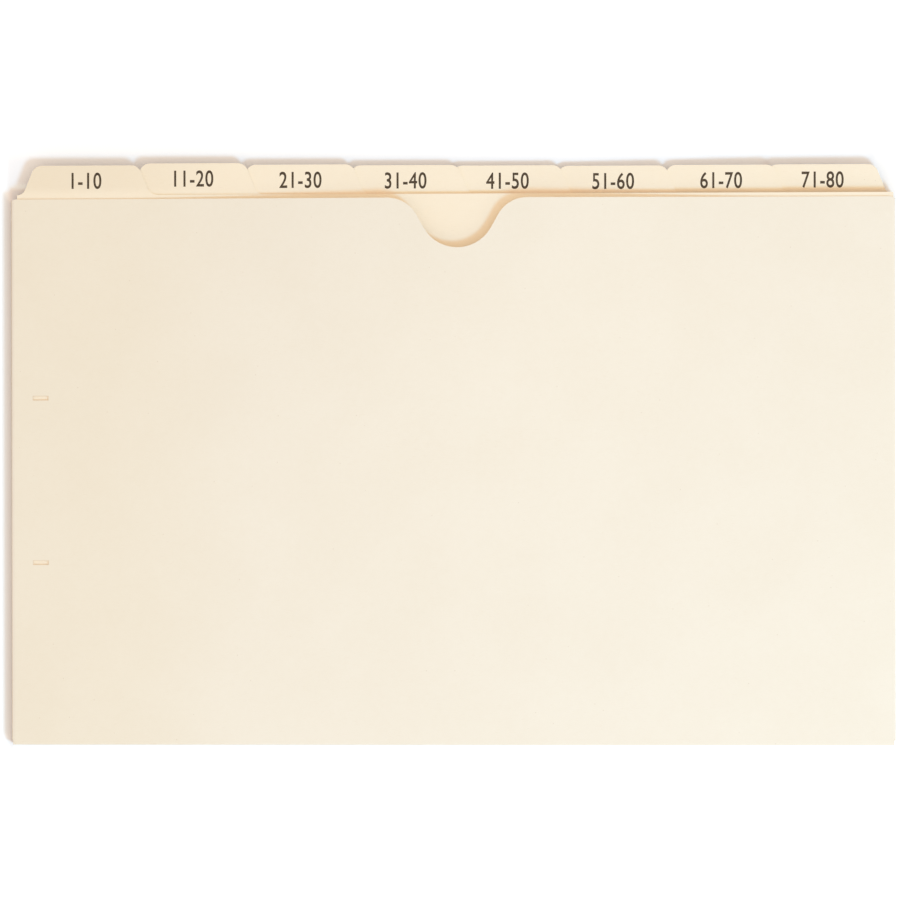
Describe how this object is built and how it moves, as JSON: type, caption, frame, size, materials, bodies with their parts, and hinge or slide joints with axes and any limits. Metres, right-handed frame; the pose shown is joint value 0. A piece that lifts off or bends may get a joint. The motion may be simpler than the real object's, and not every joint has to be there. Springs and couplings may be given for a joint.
{
  "type": "file jacket",
  "caption": "Legal-size manila file jacket: a folded card pocket, open at the top, with a thumb cut and prong slots, holding loose tabbed dividers that slide out of its mouth.",
  "frame": {"origin": "middle of the back panel's outer face, the face that the jacket lies on", "axes": "+X along the width, to the right as seen from the front; +Y up the pocket, towards the mouth and the tabs; +Z from the back panel to the front panel"},
  "size_m": [0.3746, 0.2467, 0.0113],
  "materials": {
    "jacket_manila": "smooth matt manila card",
    "divider_manila": "smooth matt manila card, a little warmer than the jacket",
    "seam_paste": "dried paste film"
  },
  "bodies": {
    "jacket": {"jacket": "jacket_manila", "left_seam_glue": "seam_paste", "right_seam_glue": "seam_paste"},
    "divider_1": {"divider_1": "divider_manila"},
    "divider_2": {"divider_2": "divider_manila"},
    "divider_3": {"divider_3": "divider_manila"},
    "divider_4": {"divider_4": "divider_manila"},
    "divider_5": {"divider_5": "divider_manila"},
    "divider_6": {"divider_6": "divider_manila"},
    "divider_7": {"divider_7": "divider_manila"},
    "divider_8": {"divider_8": "divider_manila"}
  },
  "joints": [
    {"name": "divider_1_slide", "type": "slide", "parent": "jacket", "child": "divider_1", "axis": [0, 1, 0], "range_m": [-0.0044, 0.245]},
    {"name": "divider_2_slide", "type": "slide", "parent": "jacket", "child": "divider_2", "axis": [0, 1, 0], "range_m": [-0.0043, 0.245]},
    {"name": "divider_3_slide", "type": "slide", "parent": "jacket", "child": "divider_3", "axis": [0, 1, 0], "range_m": [-0.0043, 0.245]},
    {"name": "divider_4_slide", "type": "slide", "parent": "jacket", "child": "divider_4", "axis": [0, 1, 0], "range_m": [-0.0041, 0.245]},
    {"name": "divider_5_slide", "type": "slide", "parent": "jacket", "child": "divider_5", "axis": [0, 1, 0], "range_m": [-0.0038, 0.245]},
    {"name": "divider_6_slide", "type": "slide", "parent": "jacket", "child": "divider_6", "axis": [0, 1, 0], "range_m": [-0.0036, 0.245]},
    {"name": "divider_7_slide", "type": "slide", "parent": "jacket", "child": "divider_7", "axis": [0, 1, 0], "range_m": [-0.0038, 0.245]},
    {"name": "divider_8_slide", "type": "slide", "parent": "jacket", "child": "divider_8", "axis": [0, 1, 0], "range_m": [-0.0039, 0.245]}
  ]
}
